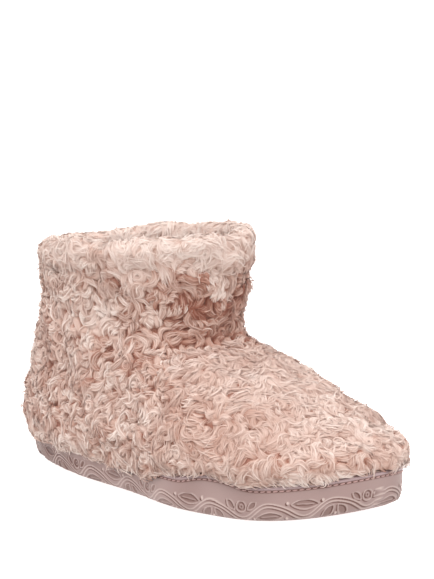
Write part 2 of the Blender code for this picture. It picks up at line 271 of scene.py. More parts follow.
def ramp_from(nt, source, stops):
    ramp = nt.nodes.new("ShaderNodeValToRGB")
    el = ramp.color_ramp.elements
    el[0].position, el[0].color = stops[0][0], (*stops[0][1], 1)
    el[1].position, el[1].color = stops[-1][0], (*stops[-1][1], 1)
    for pos, col in stops[1:-1]:
        e = el.new(pos)
        e.color = (*col, 1)
    nt.links.new(source, ramp.inputs["Fac"])
    return ramp


PILE_STOPS = ((0.00, (0.290, 0.112, 0.078)), (0.25, (0.455, 0.240, 0.182)), (0.50, (0.612, 0.415, 0.347)),
              (0.75, (0.742, 0.576, 0.508)), (1.00, (0.882, 0.768, 0.708)))


def pile_material(name, streak, bump, fibre=True):
    """Fleece: fine parallel fibres that follow each lock, as tone and as bump."""
    m, nt, bs = new_material(name)
    tone = nt.nodes.new("ShaderNodeAttribute")
    tone.attribute_name = "tone"
    noise = nt.nodes.new("ShaderNodeTexNoise")
    noise.inputs["Scale"].default_value = 1.0
    noise.inputs["Detail"].default_value = 2.5
    noise.inputs["Roughness"].default_value = 0.6
    if fibre:
        lines = nt.nodes.new("ShaderNodeAttribute")
        lines.attribute_name = "fibre"
        nt.links.new(lines.outputs["Vector"], noise.inputs["Vector"])
    else:
        coords = nt.nodes.new("ShaderNodeTexCoord")
        nt.links.new(coords.outputs["Object"], noise.inputs["Vector"])
        noise.inputs["Scale"].default_value = 900.0
    spread_ = nt.nodes.new("ShaderNodeMath")
    spread_.operation = "MULTIPLY_ADD"
    nt.links.new(noise.outputs["Fac"], spread_.inputs[0])
    spread_.inputs[1].default_value = streak
    low = nt.nodes.new("ShaderNodeMath")
    low.operation = "SUBTRACT"
    nt.links.new(tone.outputs["Fac"], low.inputs[0])
    low.inputs[1].default_value = 0.5 * streak
    nt.links.new(low.outputs[0], spread_.inputs[2])
    ramp = ramp_from(nt, spread_.outputs[0], PILE_STOPS)
    nt.links.new(ramp.outputs["Color"], bs.inputs["Base Color"])
    bs.inputs["Roughness"].default_value = 0.62
    bs.inputs["Specular IOR Level"].default_value = 0.02
    bs.inputs["Sheen Weight"].default_value = 0.60
    bs.inputs["Sheen Roughness"].default_value = 0.45
    bs.inputs["Sheen Tint"].default_value = (1.0, 0.87, 0.81, 1.0)
    if bump:
        b = nt.nodes.new("ShaderNodeBump")
        b.inputs["Strength"].default_value = bump
        b.inputs["Distance"].default_value = 0.0004
        nt.links.new(noise.outputs["Fac"], b.inputs["Height"])
        nt.links.new(b.outputs["Normal"], bs.inputs["Normal"])
    return m


bed_mat = pile_material("footbed_pile", 0.35, 0.8, fibre=False)
strand_mat = pile_material("curly_pile", 0.0, 0.0)

# ---------------------------------------------------------------------------
# the smooth form under the pile: outside, crest and lining, for any ring and level
# ---------------------------------------------------------------------------
def shell_rows(ring, outer_levels, crest, inner_levels):
    """Rows of points over the outside, over the crest and down the lining."""
    rows = []
    for row in smooth_rows(OUTER_ROWS, outer_levels):
        x, s = outline(row, 0.0, ring)
        rows.append(place(x, s, upper_height(row["z"], s)))
    top = smooth_rows(OUTER_ROWS, [126.0])[0]
    for rise, inset in crest:
        x, s = outline(top, inset, ring)
        rows.append(place(x, s, upper_height(126.0, s) + rise))
    for row in smooth_rows(INNER_ROWS, inner_levels):
        x, s = outline(row, 0.0, ring)
        rows.append(place(x, s, upper_height(row["z"], s)))
    return np.stack(rows)


def fine_crest(count):
    """The crest as an even row of rise and inset."""
    pts = np.array(((0.0, 0.0),) + CREST_ROWS + ((-1.0, 13.5),))
    run = np.concatenate([[0], np.cumsum(np.linalg.norm(np.diff(pts, axis=0), axis=1))])
    t = np.linspace(0, run[-1], count + 2)[1:-1]
    return list(zip(np.interp(t, run, pts[:, 0]), np.interp(t, run, pts[:, 1])))


def grid_normals(grid):
    """Normals of an open grid whose columns wrap, pointing away from the foot."""
    along_rows = np.gradient(grid, axis=0)
    side = np.roll(grid, -1, 1) - np.roll(grid, 1, 1)
    return unit(np.cross(side, along_rows))


def trough(p, path, width, depth):
    """Depth of a soft crease that follows a path of points (mm)."""
    path = np.asarray(path, float)
    best = np.full(p.shape[:-1], 1e9)
    for a, b in zip(path[:-1], path[1:]):
        ab = b - a
        t = np.clip(((p - a) @ ab) / (ab @ ab), 0.0, 1.0)
        best = np.minimum(best, np.linalg.norm(p - (a + t[..., None] * ab), axis=-1))
    return depth * np.exp(-(best / width) ** 2)


def at(s, x, z):
    return (x - CENTRE_X, CENTRE_S - s, z)


# creases, given point by point: station s, sideways x, height z
ANKLE_CREASE = [at(112, -44, 74), at(128, -40, 76), at(141, -30, 78.5), at(148, -17, 81), at(151, 0, 82.5),
                at(148, 17, 82), at(140, 31, 79), at(128, 40, 76), at(112, 44, 74)]
HEEL_FOLD_OUT = [at(12, -28, 36), at(44, -45, 37), at(70, -50, 42), at(103, -51, 50), at(131, -48.5, 61), at(150, -46, 63)]
HEEL_FOLD_IN = [at(20, 34, 40), at(60, 48, 45), at(100, 50, 52), at(128, 48, 61)]
COLLAR_DIP = [at(20, -20, 108), at(68, -47.5, 114), at(102, -47, 116.5), at(127, -39, 120), at(144, -25, 122),
              at(151, -10, 119), at(150, 12, 114), at(140, 31, 116), at(110, 45, 117), at(70, 47, 113), at(20, 22, 108)]
VAMP_DIP_A = [at(176, -33, 66), at(192, -18, 66), at(206, 2, 62), at(214, 20, 55)]
VAMP_DIP_B = [at(205, -42, 46), at(226, -32, 46), at(242, -14, 45), at(250, 8, 42)]
TROUGHS = ((ANKLE_CREASE, 5.0, 1.1), (HEEL_FOLD_OUT, 5.0, 1.5), (HEEL_FOLD_IN, 5.0, 1.3),
           (COLLAR_DIP, 4.5, 1.7), (VAMP_DIP_A, 5.0, 0.9), (VAMP_DIP_B, 5.0, 0.8))


def crease(p):
    total = np.zeros(p.shape[:-1])
    for path, width, depth in TROUGHS:
        total += trough(p, path, width, depth)
    return total


SINK = 2.0                                   # the skin under the locks lies this far under the CAD surface


def skin(grid):
    """The soft skin under the locks: sunk, creased and gently lumpy, fuller at the collar and on the vamp."""
    n = grid_normals(grid)
    swell = 0.60 * field(grid, 15.0, 3) + 0.55 * field(grid, 8.0, 4)
    on_collar, on_vamp = ease((grid[..., 2] - 112.0) / 10.0), ease((CENTRE_S - grid[..., 1] - 145.0) / 30.0)
    sunk = SINK - 1.7 * on_collar - 0.9 * on_vamp
    out = grid + n * (-sunk - crease(grid) + swell)[..., None]
    s_, inner = CENTRE_S - grid[..., 1], ease((grid[..., 0] + 5.0) / 25.0)
    hump = 2.2 * inner * np.exp(-((s_ - 98.0) / 34.0) ** 2) - 2.4 * (1 - ease((s_ - 8.0) / 34.0))
    out[..., 2] += hump * ease((grid[..., 2] - 104.0) / 16.0)          # the rim dips at the heel, rises inside
    return out, n


def levels(start, stops):
    out = [start]
    for stop, count in stops:
        out += list(np.linspace(out[-1], stop, count + 1)[1:])
    return out


RING_MID = around(420)
guide, _ = skin(shell_rows(RING_MID, levels(20.0, ((32, 10), (70, 36), (84, 20), (126, 40))), fine_crest(14),
                           np.linspace(125, 96, 24)))
GR, GC = guide.shape[:2]
gflat, gnorm = guide.reshape(-1, 3), grid_normals(guide).reshape(-1, 3)
gquads = grid_quads(GR, GC)
tree = BVHTree.FromPolygons([tuple(v) for v in gflat], [tuple(f) for f in gquads])

# ---------------------------------------------------------------------------
# locks of the pile: where they sit, how they lie, how they curl
# ---------------------------------------------------------------------------
rng = np.random.default_rng(20)
e1, e2 = gflat[gquads[:, 1]] - gflat[gquads[:, 0]], gflat[gquads[:, 3]] - gflat[gquads[:, 0]]
area = np.linalg.norm(np.cross(e1, e2), axis=1)


def scatter(count, rng):
    """Points on the skin, evenly by area: place, normal."""
    pick = rng.choice(len(gquads), count, p=area / area.sum())
    u, v = rng.random(count)[:, None], rng.random(count)[:, None]
    c = gquads[pick]
    w = ((1 - u) * (1 - v), u * (1 - v), u * v, (1 - u) * v)
    return (sum(gflat[c[:, k]] * w[k] for k in range(4)),
            unit(sum(gnorm[c[:, k]] * w[k] for k in range(4))))


def spread(count, gap, rng):
    """Scattered points thinned so that none are closer than gap."""
    p, n = scatter(count, rng)
    cells, keep = {}, []
    for i, cell in enumerate(map(tuple, np.floor(p / gap).astype(int))):
        near = [j for da in (-1, 0, 1) for db in (-1, 0, 1) for dc in (-1, 0, 1)
                for j in cells.get((cell[0] + da, cell[1] + db, cell[2] + dc), ())]
        if near and (((p[near] - p[i]) ** 2).sum(1) < gap * gap).any():
            continue
        cells.setdefault(cell, []).append(i)
        keep.append(i)
    return p[keep], n[keep]


GAP_LOCK = 3.6
seed_p, seed_n = spread(30000, GAP_LOCK, rng)
fringe_cols = np.where(rng.random(GC) < (0.60))[0]        # tufts along the hem, hanging over the lip
MAIN_SEEDS = len(seed_p)
seed_p = np.concatenate([seed_p, guide[1, fringe_cols]])
seed_n = np.concatenate([seed_n, gnorm.reshape(GR, GC, 3)[1, fringe_cols]])
SEEDS = len(seed_p)


def lay(p, n):
    """The direction the pile lies in: down under gravity, and towards the toe on the vamp."""
    flat_top = ease((n[:, 2] - 0.35) / 0.5)[:, None]
    foot_ = 1 - ease((p[:, 2] - 70.0) / 16.0)[:, None]
    want = (np.array([0.0, 0.0, -1.0]) * (1 - 0.6 * flat_top) * (1 - 0.35 * foot_)
            + np.array([0.0, -1.0, 0.0]) * (0.30 + 0.55 * foot_ + 0.5 * flat_top))
    return unit(want - n * (want * n).sum(1, keepdims=True))


def turned(d, n, angle):
    return unit(d * np.cos(angle)[:, None] + np.cross(n, d) * np.sin(angle)[:, None])


swirl = 1.7 * field(seed_p, 19.0, 31) + 0.7 * field(seed_p, 8.0, 32)
swirl[MAIN_SEEDS:] *= 0.35
seed_d = turned(lay(seed_p, seed_n), seed_n, swirl + rng.normal(0, 0.22, SEEDS))
S_SEED = CENTRE_S - seed_p[:, 1]
is_shaft = ease((seed_p[:, 2] - 78.0) / 8.0)
is_collar = ease((seed_p[:, 2] + 4.0 * field(seed_p, 14.0, 45) - 110.0) / 16.0)
is_vamp = ease((S_SEED - 134.0) / 40.0) * (1 - is_shaft)
is_toe = ease((S_SEED - 215.0) / 30.0) * (1 - is_shaft)
top_side = ease((seed_n[:, 2] - 0.2) / 0.5)
calm = np.clip(0.92 * is_collar + is_vamp * (0.42 + 0.35 * top_side), 0, 0.92)     # where the pile is smoother
shaft_front_shade = is_shaft * (1 - is_collar) * ease((S_SEED - 118.0) / 25.0)
# painted shade: the front of the shaft, facing away from the key light, is painted darker; only where the pile faces
# outwards: inside the rim it stays as pale as the rest
shaft_front_shade *= seed_p[:, 0] * seed_n[:, 0] + (seed_p[:, 1] - 45.0) * seed_n[:, 1] > 0
seed_tone = -0.055 + (rng.normal(0, 0.07, SEEDS) + 0.07 * field(seed_p, 24.0, 41) + 0.09 * field(seed_p, 9.0, 43)) * (1 - 0.8 * calm)
# painted light: the collar roll, the upward-facing top of the vamp and the toe are painted lighter, as where the light
# falls on them
seed_tone += 0.34 * is_collar + 0.22 * is_vamp * ease((seed_n[:, 2] - 0.64) / 0.34) - 0.05 * is_vamp + 0.12 * is_toe
seed_tone += 0.11 * (1 - ease((seed_p[:, 2] - 22.0) / 24.0)) + 0.03 * is_vamp * np.exp(-((S_SEED - 205.0) / 26.0) ** 2)
seed_tone += (0.11 * is_shaft - 0.38 * shaft_front_shade) * (1 - is_collar)
kind = rng.random(SEEDS)
rope_share = 0.10 + 0.14 * is_shaft * (1 - is_collar) - 0.03 * is_vamp

# one row per lock: place, normal, direction, then LOCK_COLS
LOCK_COLS = ("long", "wide", "high", "bend", "lean", "ring", "tone", "calm")
locks = []


def add_lock(p, n, d, long_, wide_, high_, bend_, lean_, ring_, tone_):
    """A lock of half length long_ and half width wide_; i is the seed it grows from."""
    locks.append(np.concatenate([p, n, d, (long_, wide_, 0.78 * high_ * (1 - 0.62 * calm[i]), bend_, lean_, ring_, tone_, calm[i])]))


for i in range(SEEDS):
    p, n, d = seed_p[i], seed_n[i], seed_d[i]
    size = rng.uniform(0.82, 1.2) * (1.20 + 0.06 * is_vamp[i] + 0.08 * is_collar[i])
    if i >= MAIN_SEEDS:
        add_lock(p, n, d, rng.uniform(3.2, 5.0), rng.uniform(1.5, 2.3), rng.uniform(3.0, 4.2) / (1 - 0.62 * calm[i]),
                 rng.normal(0, 0.16), 0.2, 0.0, seed_tone[i] + 0.10)
        continue
    if kind[i] < rope_share[i] + 0.07:               # a low lock fills the ground around it
        add_lock(p, n, d, rng.uniform(3.4, 4.6), rng.uniform(2.0, 2.8), rng.uniform(1.2, 1.9), rng.normal(0, 0.12), 0.2, 0.0,
                 seed_tone[i] - 0.03)
    if kind[i] < rope_share[i]:                      # a rope of oblique bands
        bands = int(rng.integers(3, 6))
        step, turn = rng.uniform(1.9, 2.5) * size, rng.normal(0, 0.22)
        hand = rng.choice([-1.0, 1.0])
        slant, long_ = hand * rng.uniform(0.85, 1.15), rng.uniform(2.5, 3.2) * size
        p, run = p.copy(), d.copy()
        high = rng.uniform(2.8, 4.3)
        for j in range(bands):
            hit = tree.find_nearest(Vector(p))
            on, nn = np.array(hit[0]), np.array(hit[1])
            if nn @ n < 0:
                nn = -nn
            run = unit(run - nn * (run @ nn))
            swell = 0.78 + 0.22 * math.sin(math.pi * (j + 0.7) / (bands + 0.4))
            add_lock(on, nn, unit(run * math.cos(slant) + np.cross(nn, run) * math.sin(slant)), long_ * swell,
                     step * 0.66, high * swell, 0.22 * hand, 0.0, 0.0, seed_tone[i] + 0.04 + rng.normal(0, 0.02))
            run = unit(run * math.cos(turn) + np.cross(nn, run) * math.sin(turn))
            p = on + run * step
    elif kind[i] < rope_share[i] + 0.07:             # a rosette
        r = rng.uniform(2.9, 4.2) * size
        add_lock(p, n, d, r, r, rng.uniform(2.4, 3.8), 0.0, 0.0, rng.choice([-1.0, 1.0]) * rng.uniform(0.55, 0.8), seed_tone[i])
    elif kind[i] < rope_share[i] + 0.07 + 0.58:      # a long lock, bent
        add_lock(p, n, d, rng.uniform(3.6, 6.0) * size, rng.uniform(1.7, 2.6) * size, rng.uniform(2.0, 4.2),
                 rng.normal(0, 0.16), rng.uniform(0.0, 0.45), 0.0, seed_tone[i])
    else:                                            # a short, strongly bent one
        add_lock(p, n, d, rng.uniform(2.4, 3.5) * size, rng.uniform(1.5, 2.3) * size, rng.uniform(2.4, 4.6),
                 rng.choice([-1.0, 1.0]) * rng.uniform(0.15, 0.42), rng.uniform(0.0, 0.4), 0.0, seed_tone[i] + 0.02)

LOCK = np.array(locks)
LOCKS = len(LOCK)
LP, LN_, LD = LOCK[:, 0:3], unit(LOCK[:, 3:6]), LOCK[:, 6:9]
LD = unit(LD - LN_ * (LD * LN_).sum(1, keepdims=True))
LB = np.cross(LN_, LD)
LC = dict(zip(LOCK_COLS, LOCK[:, 9:].T))


def dome(u, v, lean):
    """Height share of a lock over its own length u and width v."""
    a = np.clip(1 - np.abs(u) ** 2.6, 0, 1) ** 0.70
    b = np.clip(1 - np.abs(v) ** 2.2, 0, 1) ** 0.70
    return a * b * (1 - 0.22 * lean * (1 - u) * 0.5)


# ---------------------------------------------------------------------------
# the pile's own surface: fine grids raised by the locks
# ---------------------------------------------------------------------------
K = 1.0
LOW_RING, HIGH_RING, IN_RING = (around(2 * int(n * K / 2)) for n in (700, 540, 220))
low_grid = shell_rows(LOW_RING, levels(20.0, ((30, int(14 * K)), (70, int(62 * K)), (81, int(30 * K)))), (), ())[:, :]
high_grid = shell_rows(HIGH_RING, levels(80.0, ((126.0, int(60 * K)),)), fine_crest(int(24 * K)),
                       np.linspace(125.0, 104.0, int(22 * K)))
inner_grid = shell_rows(IN_RING, (), (), np.concatenate([np.linspace(106.0, 84.0, 14), np.linspace(81.0, 22.0, 26)]))


def raised(grid):
    """Lift a fine grid by the locks. Gives points, tone, fibre lines and which lock is on top."""
    base, n = skin(grid)
    flat = base.reshape(-1, 3)
    cell = 6.0
    keys = np.floor(flat / cell).astype(int)
    order = np.lexsort(keys.T)
    sorted_keys = keys[order]
    change = np.any(np.diff(sorted_keys, axis=0) != 0, axis=1)
    starts = np.concatenate([[0], np.where(change)[0] + 1, [len(order)]])
    table = {tuple(sorted_keys[a]): order[a:b] for a, b in zip(starts[:-1], starts[1:])}
    height = np.zeros(len(flat))
    second = np.zeros(len(flat))
    owner = np.full(len(flat), -1)
    local = np.zeros((len(flat), 2))
    seen = {}
    for i in range(LOCKS):
        c = np.floor(LP[i] / cell).astype(int)
        found = [table[k] for k in ((c[0] + a, c[1] + b, c[2] + e) for a in (-1, 0, 1) for b in (-1, 0, 1) for e in (-1, 0, 1))
                 if k in table]
        if not found:
            continue
        idx = np.concatenate(found)
        rel = flat[idx] - LP[i]
        x, y = rel @ LD[i], rel @ LB[i]
        if LC["ring"][i] == 0:
            u = x / LC["long"][i]
            v = (y - LC["bend"][i] * x * x * 0.5) / (LC["wide"][i] * (1 - 0.30 * u * u))
            inside = (np.abs(u) < 1) & (np.abs(v) < 1) & (np.abs(rel @ LN_[i]) < 5)
            idx, u, v = idx[inside], u[inside], v[inside]
            h = LC["high"][i] * dome(u, v, LC["lean"][i])
            lx, ly = u * LC["long"][i], v * LC["wide"][i]
        else:
            r = np.hypot(x, y) / LC["long"][i]
            inside = (r < 1) & (np.abs(rel @ LN_[i]) < 5)
            idx, r, x, y = idx[inside], r[inside], x[inside], y[inside]
            w = np.arctan2(y, x) * np.sign(LC["ring"][i])
            swirl_ = np.cos(w - 5.0 * r)
            h = LC["high"][i] * np.clip(1 - r ** 2.2, 0, 1) ** 0.5 * (0.84 + 0.16 * swirl_)
            lx, ly = w * 2.0, r * LC["long"][i] * 1.2
        top = h > height[idx]
        second[idx] = np.where(top, height[idx], np.maximum(second[idx], h))
        height[idx[top]] = h[top]
        owner[idx[top]] = i
        local[idx[top], 0], local[idx[top], 1] = lx[top], ly[top]
        seen[i] = idx
    crack = np.clip((height - second) / 0.9, 0, 1)
    quiet = 1 - 0.62 * np.where(owner >= 0, LC["calm"][np.maximum(owner, 0)], 0.0)
    # painted shade: the skin between the strands is painted darker the lower it lies under the lock tops and a little
    # lighter where one lock stands clear of the next; bare skin with no lock over it is painted dark below the collar
    tone = 0.04 + 0.06 * (1 - quiet) + 0.44 * ease(height / (2.1 * quiet)) + 0.10 * crack
    bare = 0.10 + 0.42 * ease((flat[:, 2] - 106.0) / 14.0)
    tone += np.where(owner >= 0, LC["tone"][np.maximum(owner, 0)], bare)
    fib = np.zeros((len(flat), 3))
    o = np.maximum(owner, 0)
    fib[:, 0] = local[:, 1] * 2.2 + (o * 0.37) % 9.0
    fib[:, 1] = local[:, 0] * 0.16
    fib[:, 2] = (o * 0.61) % 7.0
    pts = flat + n.reshape(-1, 3) * (0.90 * height - 0.15)[:, None]
    return pts, tone, fib, owner, seen, flat, height


def pile_surface(name, grid, first=None):
    pts, tone, fib, owner, seen, flat, height = raised(grid)
    quads = grid_quads(grid.shape[0], grid.shape[1])
    ob = mesh_piece(name, pts, quads=quads, material=ground_mat, tone=np.clip(tone, 0, 1))
    layer = ob.data.attributes.new("fibre", "FLOAT_VECTOR", "POINT")
    layer.data.foreach_set("vector", np.ascontiguousarray(fib, dtype=np.float32).ravel())
    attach(ob, "root")
    return ob, owner, seen, flat, len(quads) * 2


ground_mat = pile_material("pile_ground", 0.42, 0.7)
low_ob, low_owner, low_seen, low_flat, t_low = pile_surface("pile_lower", low_grid)
high_ob, high_owner, high_seen, high_flat, t_high = pile_surface("pile_upper", high_grid)
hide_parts("upper")

# the lining, and the hidden hem that goes down into the cup
lin, ln_n = inner_grid, grid_normals(inner_grid)
soft = 0.5 * field(lin, 9.0, 7) + 0.45 * field(lin, 4.5, 8) - 0.8
lin = lin + ln_n * soft[..., None]
x, s = outline(smooth_rows(INNER_ROWS, [16.0])[0], 0.0, IN_RING)
rows = [place(x, s, cup_floor(s) + GAP)]
x, s = outline(SOLE, CUP_WALL + GAP, IN_RING)
rows += [place(x, s, cup_floor(s) + GAP), place(x, s, LIP_TOP - 0.6 + spring(s) + wave(s))]
x, s = outline(SOLE, CUP_WALL - 0.9, IN_RING)
rows.append(place(x, s, LIP_TOP + GAP + 0.1 + spring(s) + wave(s)))
x, s = outline(SOLE, -PILE_GAP, IN_RING)
rows.append(place(x, s, LIP_TOP + GAP + 0.1 + spring(s) + wave(s)))
rows.append(place(x, s, LIP_TOP + GAP + 0.05 + spring(s) + wave(s) - hang(s)))
x, s = outline(smooth_rows(OUTER_ROWS, [20.0])[0], 2.2, IN_RING)
rows.append(place(x, s, upper_height(20.0, s) + 0.6))
lining = np.concatenate([lin, np.stack(rows)])
# painted shade: the lining is painted a little darker in the dips between its lumps
lt = np.concatenate([0.58 + 0.08 * soft.ravel(), np.full(7 * lining.shape[1], 0.42)])
lining_ob = mesh_piece("pile_lining", lining.reshape(-1, 3), quads=grid_quads(*lining.shape[:2]),
                       material=bed_mat, tone=np.clip(lt, 0, 1))
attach(lining_ob, "root")

# ---------------------------------------------------------------------------
# strands that lie along every lock, kept where the lock is on top
# ---------------------------------------------------------------------------
SEG = 6
T = np.linspace(0, 1, SEG + 1)
strands = {"p": [], "n": [], "f": [], "lock": [], "v": [], "h": []}
srng = np.random.default_rng(8)
PITCH = 0.43
kept, tried = 0, 0
for i in range(LOCKS):
    for owner, seen, flat in ((low_owner, low_seen, low_flat), (high_owner, high_seen, high_flat)):
        if i in seen and len(seen[i]):
            break
    else:
        continue
    idx = seen[i]
    mine = owner[idx] == i
    if mine.sum() < 4:
        continue
    rel = flat[idx] - LP[i]
    vx, vy = rel @ LD[i], rel @ LB[i]
    L_, W_, H_ = LC["long"][i], LC["wide"][i], LC["high"][i]
    if LC["ring"][i] == 0:
        m = max(3, int(round(2 * W_ / PITCH)))
        v0 = np.linspace(-0.93, 0.93, m) + srng.normal(0, 0.05, m)
        u_start = -srng.uniform(0.80, 1.02, m)
        u_end = srng.uniform(0.70, 1.20, m)
        u = u_start[:, None] + (u_end - u_start)[:, None] * T[None, :]
        stray = srng.random(m) < 0.12 + 0.20 * LC["calm"][i]
        slope_ = np.where(stray, srng.normal(0, 0.8, m), srng.normal(0, 0.24, m))
        edge_v = np.where(stray, 1.7, 1.05)[:, None]
        v = np.clip(v0[:, None] + slope_[:, None] * u + 0.14 * np.sin(3.0 * u + srng.uniform(0, 6.3, m)[:, None]), -edge_v, edge_v)
        x = u * L_
        y = v * W_ * (1 - 0.30 * np.minimum(u * u, 1.2)) + LC["bend"][i] * x * x * 0.5
        h = H_ * dome(np.clip(u, -0.985, 0.985), np.clip(v, -0.97, 0.97), LC["lean"][i]) ** 0.90
    else:
        m = max(3, int(round(2.2 * L_ / PITCH)))
        r0 = np.linspace(0.25, 0.97, m) + srng.normal(0, 0.03, m)
        w = srng.uniform(0, TAU, m)[:, None] + np.sign(LC["ring"][i]) * (2.6 / np.maximum(r0, 0.45))[:, None] * T[None, :]
        r = np.clip(r0[:, None] - 0.22 * T[None, :] * r0[:, None], 0.05, 0.98)
        x, y = r * L_ * np.cos(w), r * L_ * np.sin(w)
        u, v = r, r * 0.6
        stray = np.zeros(m, bool)
        h = H_ * np.clip(1 - r ** 2.2, 0, 1) ** 0.5 * (0.84 + 0.16 * np.cos(w * np.sign(LC["ring"][i]) - 5.0 * r))
    tried += m
    d2 = (x[..., None] - vx) ** 2 + (y[..., None] - vy) ** 2
    seen_share = mine[d2.argmin(-1)].mean(1)
    ok = seen_share > np.where(stray, 0.10, 0.30)
    if not ok.any():
        continue
    strands["p"].append(np.stack([x[ok], y[ok], h[ok]], -1))
    strands["lock"].append(np.full(ok.sum(), i))
    strands["h"].append(stray[ok])
    strands["v"].append(v0[ok] if LC["ring"][i] == 0 else np.zeros(ok.sum()))
    kept += ok.sum()

XYH = np.concatenate(strands["p"])
OWN = np.concatenate(strands["lock"])
V0 = np.concatenate(strands["v"])
STRANDS = len(OWN)
proud = srng.uniform(0.04, 0.36, STRANDS)
STRAY = np.concatenate(strands["h"])
wild = (srng.random(STRANDS) < 0.15) | STRAY
lift = proud[:, None] + wild[:, None] * srng.uniform(0.5, 2.3, STRANDS)[:, None] * ease((T[None, :] - 0.35) / 0.65)
flat_pos = LP[OWN][:, None, :] + LD[OWN][:, None, :] * XYH[..., 0:1] + LB[OWN][:, None, :] * XYH[..., 1:2]
hits = [tree.find_nearest(Vector(q_)) for q_ in flat_pos.reshape(-1, 3)]
on = np.array([h_[0][:] for h_ in hits]).reshape(STRANDS, SEG + 1, 3)
nn = np.array([h_[1][:] for h_ in hits]).reshape(STRANDS, SEG + 1, 3)
flip = np.sign((nn * LN_[OWN][:, None, :]).sum(-1, keepdims=True))
nn = unit(0.6 * nn * np.where(flip == 0, 1, flip) + 0.4 * LN_[OWN][:, None, :])
# past the hem the strands hang on in their own plane
past = (flat_pos - on) - nn * ((flat_pos - on) * nn).sum(-1, keepdims=True)
far = np.linalg.norm(past, axis=-1, keepdims=True)
reach = (1.4 + 3.4 * srng.random(LOCKS) ** 1.4)[OWN][:, None, None]
on = np.where(far > 0.6, on + past * np.minimum(1.0, reach / np.maximum(far, 1e-6)), on)
line = on + nn * (XYH[..., 2] + lift)[..., None]
tangent = unit(np.gradient(line, axis=1))
# the lock's round back gives each strand its own facing
across_v = np.clip(V0, -1, 1)[:, None]
side0 = unit(np.cross(tangent, nn))
side_sign = np.sign((side0 * LB[OWN][:, None, :]).sum(-1))
tilt = side0 * (side_sign * across_v ** 3)[..., None]
facing = nn + 0.30 * tilt + side0 * srng.normal(0, 0.10, STRANDS)[:, None, None]
facing = unit(facing - tangent * (facing * tangent).sum(-1, keepdims=True))
side = np.cross(tangent, facing)
prof = np.interp(T, [0, 0.2, 0.7, 1.0], [0.7, 1.0, 0.95, 0.30])
half = 0.5 * srng.uniform(0.40, 0.66, STRANDS)[:, None] * prof[None, :]
SV = np.stack([line - side * half[..., None], line + side * half[..., None]], 2)
SN = unit(np.stack([facing - 0.25 * side, facing + 0.25 * side], 2) + (0.90 * nn + 0.45 * tilt)[:, :, None])
# painted shade along each strand: darker at the root, deep in the pile, and a little at the tucked-in tip
run_shade = np.interp(T, [0, 0.25, 0.6, 1.0], [-0.20, 0.0, 0.07, -0.08])
fresh = (1 - 0.62 * LC["calm"][OWN])[:, None]
# painted shade: strands are darker the lower they lie on the lock's dome, the closer they lie to the skin and towards
# the lock's edges
STONE = (0.30 + LC["tone"][OWN][:, None] + 0.34 * (1 - (1 - ease(XYH[..., 2] / 2.3)) * fresh)
         + fresh * (run_shade[None, :] + srng.normal(0, 0.075, STRANDS)[:, None] + (0.60 * (proud - 0.20))[:, None]
                    - 0.14 * np.abs(across_v) ** 3))
# painted light: fibres that stand off are painted palest, for the light that single fibres let through
STONE += 0.13 * wild[:, None] * ease((T[None, :] - 0.2) / 0.6)
STONE = np.repeat(STONE[..., None], 2, 2)


def region_of(p):
    """Which piece a strand belongs to: collar, shaft, vamp, outer side or inner side.
    Which piece a strand belongs to, so that none is over 200,000 triangles.
    """
    z_, s_, x_ = p[:, 2], CENTRE_S - p[:, 1], p[:, 0]
    return np.where(z_ > 104, 0, np.where(z_ > 76, 1, np.where(s_ > 165, 2, np.where(x_ < 0, 3, 4))))


def strip_faces(count, seg):
    a = (np.arange(count) * (seg + 1) * 2)[:, None] + (np.arange(seg) * 2)[None, :]
    return np.stack([a, a + 1, a + 3, a + 2], -1).reshape(-1, 4)


names = ("strands_collar", "strands_shaft", "strands_vamp", "strands_outer_side", "strands_inner_side")
where_r = region_of(LP[OWN])
counts = {}
for k, name in enumerate(names):
    ids = np.where(where_r == k)[0]
    f = strip_faces(len(ids), SEG)
    ob = mesh_piece(name, SV[ids].reshape(-1, 3), quads=f, material=strand_mat, tone=np.clip(STONE[ids].ravel(), 0, 1),
                    normals=SN[ids].reshape(-1, 3))
    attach(ob, "root")
    counts[name] = 2 * len(f)

# ---------------------------------------------------------------------------
# rubber: the CAD cup keeps its tread and floor, and its wall gets a raised skin
# ---------------------------------------------------------------------------
SIDE_ROWS = ((0.0, 5.6), (0.6, 3.7), (2.0, 1.8), (4.8, 0.5), (9.0, 0.0), (17.2, 0.0))
RIM_ROWS = ((1.8, 0.0), (1.2, 0.05), (0.6, 0.35), (0.2, 0.8), (0.0, 1.3), (0.0, 2.7), (0.7, 3.8))   # depth, inset
SKIN = 0.42                 # the skin stands this far off the CAD wall
STITCH_AT = 16.5            # height of the stitched groove
RELIEF_TOP = 11.3           # the ornament fills the wall up to here
WALL_RING = around(1280)
x, s = outline(SOLE, 0.0, WALL_RING)
edge = np.stack([x, s], -1)
step_t = np.linalg.norm(np.roll(edge, -1, 0) - edge, axis=1)
T_RUN = np.concatenate([[0], np.cumsum(step_t)[:-1]])
ROUND = step_t.sum()
heights = np.arange(0.45, 17.21, 0.42)
side_z, side_inset = np.array(SIDE_ROWS).T
wall, wall_h = [], []
for h in heights:
    x, s = outline(SOLE, float(np.interp(h, side_z, side_inset)), WALL_RING)
    wall.append(place(x, s, h + spring(s) + arch(x, s) * max(0.0, 1 - h / 5.0) + wave(s) * float(np.clip((h - 9.0) / 7.0, 0, 1))))
    wall_h.append(h)
for depth, inset in RIM_ROWS[1:]:
    x, s = outline(SOLE, inset, WALL_RING)
    wall.append(place(x, s, LIP_TOP - depth + spring(s) + wave(s)))
    wall_h.append(LIP_TOP - depth)
wall = np.stack(wall)
wall_h = np.array(wall_h)
wall_n = grid_normals(wall)
if (wall_n[20, 3 * wall.shape[1] // 4, 0]) > 0:
    wall_n = -wall_n

UNITS = int(round(ROUND / 72.0)) * 2
WAVE_LEN = ROUND / UNITS


